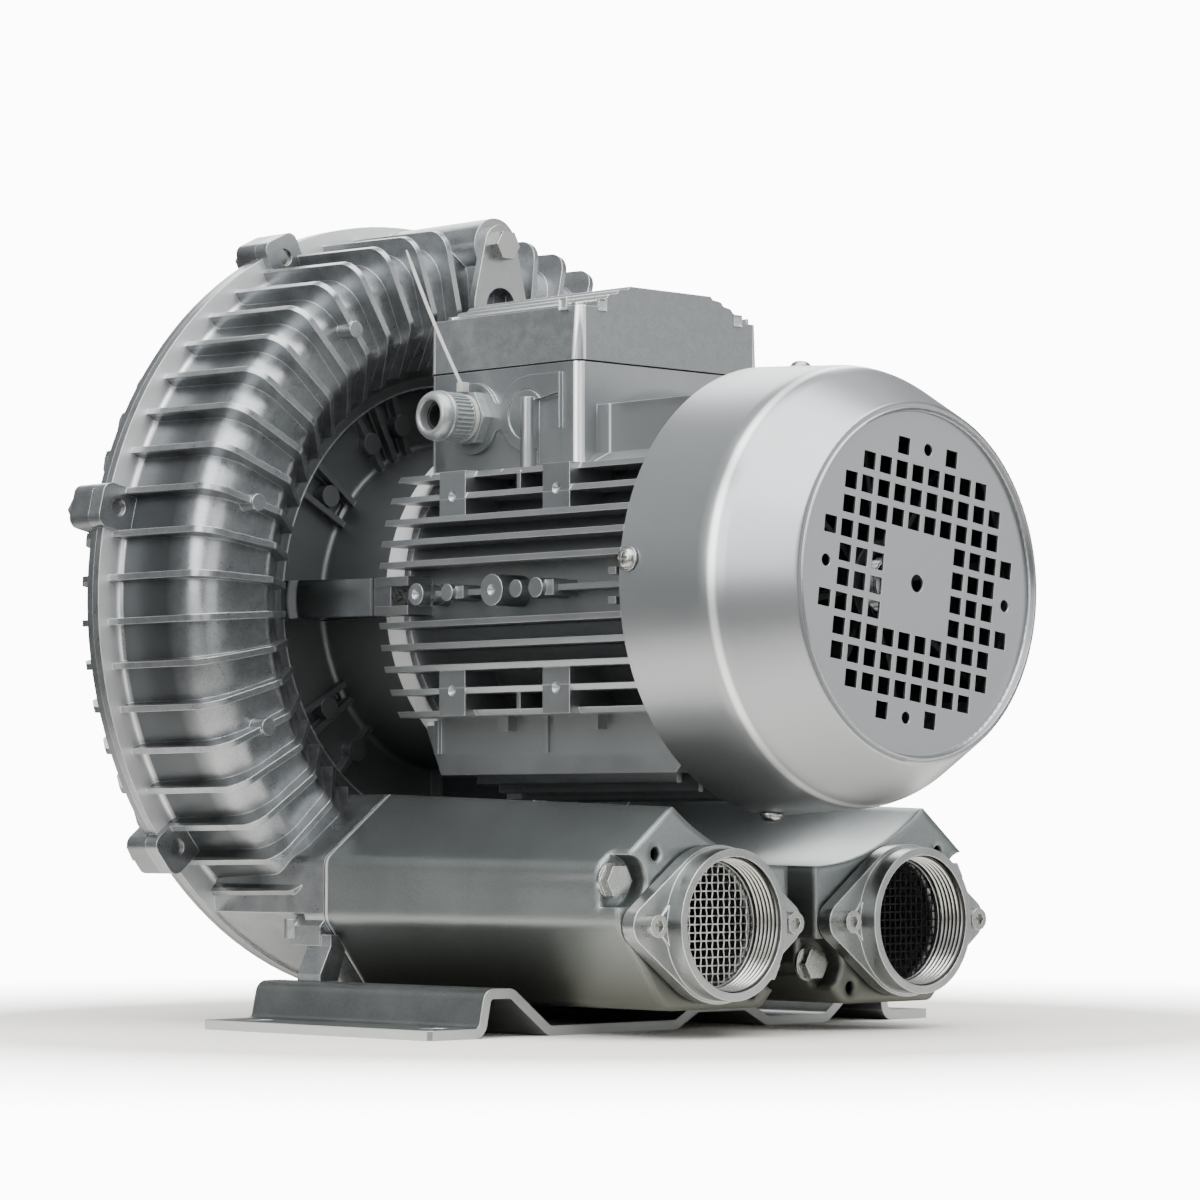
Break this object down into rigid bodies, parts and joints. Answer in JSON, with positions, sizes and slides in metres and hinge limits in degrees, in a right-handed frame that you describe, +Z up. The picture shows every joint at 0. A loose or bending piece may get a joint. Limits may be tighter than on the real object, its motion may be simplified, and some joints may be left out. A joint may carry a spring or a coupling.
{
  "type": "side channel blower",
  "caption": "Side channel blower: flanged motor with fan cover and terminal box, ribbed ring casing, two silencers with threaded ports, on a bent foot plate.",
  "frame": {"origin": "on the floor, at the middle of the four foot slots", "axes": "+Z up; the shaft runs along Y, with the fan cover and the ports towards -Y and the ribbed casing towards +Y; +X to the right seen from the ports"},
  "size_m": [0.3878, 0.3827, 0.3909],
  "materials": {
    "cast_aluminium": "die cast, satin",
    "impeller_aluminium": "machined",
    "silencer_aluminium": "die cast, darker satin",
    "fan_cover_steel": "satin",
    "plate_steel": "mill finish",
    "zinc_steel": "zinc plated",
    "shaft_steel": "ground",
    "core_steel": "laminated",
    "bearing_steel": "polished",
    "copper_winding": "varnished",
    "rubber": "matte",
    "gasket_sheet": "matte",
    "fan_plastic": "moulded",
    "grey_plastic": "moulded",
    "tie_plastic": "moulded nylon",
    "terminal_plastic": "moulded",
    "brass": "turned",
    "foam": "open foam",
    "screen_steel": "woven wire"
  },
  "bodies": {
    "housing": {"casing": "cast_aluminium", "casing_cover": "cast_aluminium", "cover_bolts": "zinc_steel", "stator_core": "core_steel", "stator_windings": "copper_winding", "bearing_outer_races": "bearing_steel", "bearing_balls": "bearing_steel", "shaft_seals": "rubber", "wave_spring": "bearing_steel", "motor_housing": "cast_aluminium", "housing_screws": "zinc_steel", "end_shield": "cast_aluminium", "shield_screws": "zinc_steel", "fan_cover": "fan_cover_steel", "fan_cover_screws": "zinc_steel", "box_gasket": "gasket_sheet", "box_lid": "cast_aluminium", "lid_screws": "zinc_steel", "terminal_board": "terminal_plastic", "terminal_studs": "brass", "gland_body": "grey_plastic", "gland_seal": "rubber", "gland_nut": "grey_plastic", "cable_tie": "tie_plastic", "muffler_left": "silencer_aluminium", "muffler_right": "silencer_aluminium", "muffler_gaskets": "gasket_sheet", "muffler_bolts": "zinc_steel", "silencer_foam": "foam", "port_flange_left": "cast_aluminium", "port_flange_right": "cast_aluminium", "flange_gaskets": "gasket_sheet", "port_screens": "screen_steel", "flange_screws": "zinc_steel", "foot_plate": "plate_steel", "foot_bolts": "zinc_steel", "lifting_lug": "zinc_steel", "lifting_bolt": "zinc_steel"},
    "rotor": {"shaft": "shaft_steel", "rotor_core": "core_steel", "impeller": "impeller_aluminium", "impeller_key": "shaft_steel", "impeller_washer": "zinc_steel", "impeller_bolt": "zinc_steel", "bearing_inner_races": "bearing_steel", "cooling_fan": "fan_plastic", "fan_clip": "bearing_steel"}
  },
  "joints": [
    {"name": "rotor_spin", "type": "hinge", "parent": "housing", "child": "rotor", "pos_m": [0, 0, 0.2], "axis": [0, 1, 0], "continuous": true}
  ]
}
